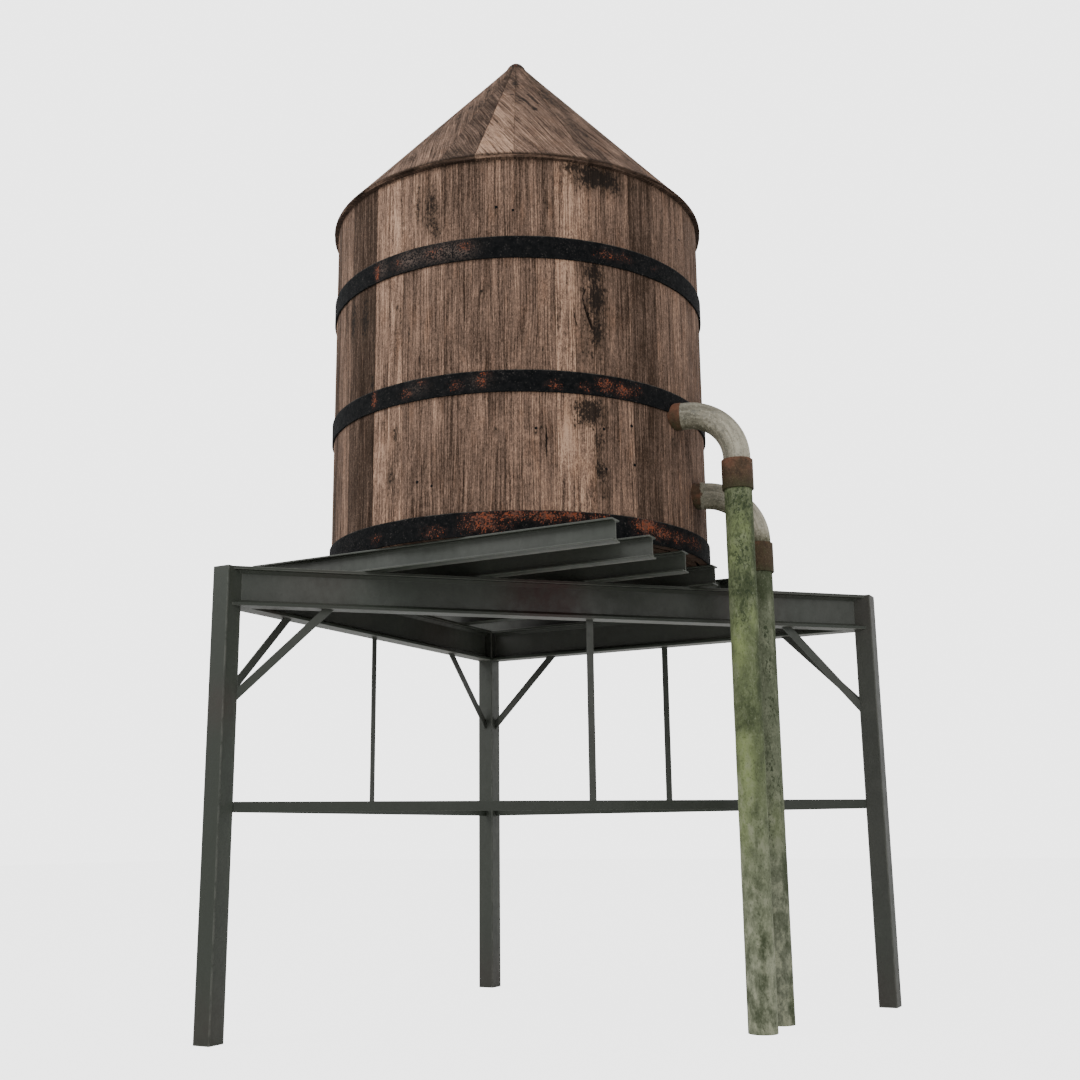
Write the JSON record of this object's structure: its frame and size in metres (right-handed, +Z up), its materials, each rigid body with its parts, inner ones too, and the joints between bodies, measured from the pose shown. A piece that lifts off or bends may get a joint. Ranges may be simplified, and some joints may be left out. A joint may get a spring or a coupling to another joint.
{
  "type": "water tower",
  "caption": "Round wooden stave water tank with a conical board roof and iron hoops, on a legged steel platform of beams and joists, with riser pipes bent into its side",
  "frame": {"origin": "on the ground plane, below the middle of the tower's bounding box", "axes": "+Z is up along the tank's axis; +X runs along the joists towards the riser pipes; +Y runs from the left leg to the back leg"},
  "size_m": [4.1964, 4.033, 8.378],
  "materials": {
    "painted_steel": "dull dark green-grey paint, worn pale along the edges, with faint rust",
    "stave_wood": "weathered bare brown-grey boards with open grain",
    "roof_wood": "weathered bare boards in wedges of differing tone",
    "black_iron": "black rough iron with rust flecks",
    "mossy_pipe": "pale green moss and lichen over old pipe",
    "lichen_pipe": "grey-beige lichen over old pipe",
    "rusty_fitting": "brown rust"
  },
  "bodies": {
    "root": {"leg_left": "painted_steel", "leg_back": "painted_steel", "leg_right": "painted_steel", "beam_left": "painted_steel", "beam_back": "painted_steel", "beam_front": "painted_steel", "joist_1": "painted_steel", "joist_2": "painted_steel", "joist_3": "painted_steel", "joist_4": "painted_steel", "joist_5": "painted_steel", "joist_6": "painted_steel", "blocking_inner": "painted_steel", "blocking_outer": "painted_steel", "tie_left": "painted_steel", "tie_back": "painted_steel", "tie_front": "painted_steel", "hanger_left": "painted_steel", "hanger_back": "painted_steel", "hanger_front": "painted_steel", "brace_left_side": "painted_steel", "brace_left_front": "painted_steel", "brace_back_side": "painted_steel", "brace_back_rear": "painted_steel", "brace_right_rear": "painted_steel", "brace_right_front": "painted_steel", "wall_1": "stave_wood", "wall_2": "stave_wood", "wall_3": "stave_wood", "wall_4": "stave_wood", "wall_5": "stave_wood", "wall_6": "stave_wood", "tank_floor": "stave_wood", "roof": "roof_wood", "hoop_base": "black_iron", "hoop_middle": "black_iron", "hoop_upper": "black_iron", "roof_cap": "black_iron", "pipe_upper_riser": "mossy_pipe", "pipe_lower_riser": "mossy_pipe", "pipe_upper_bend": "lichen_pipe", "pipe_lower_bend": "lichen_pipe", "pipe_upper_coupling": "rusty_fitting", "pipe_lower_coupling": "rusty_fitting", "pipe_upper_collar": "rusty_fitting", "pipe_lower_collar": "rusty_fitting"}
  },
  "joints": []
}
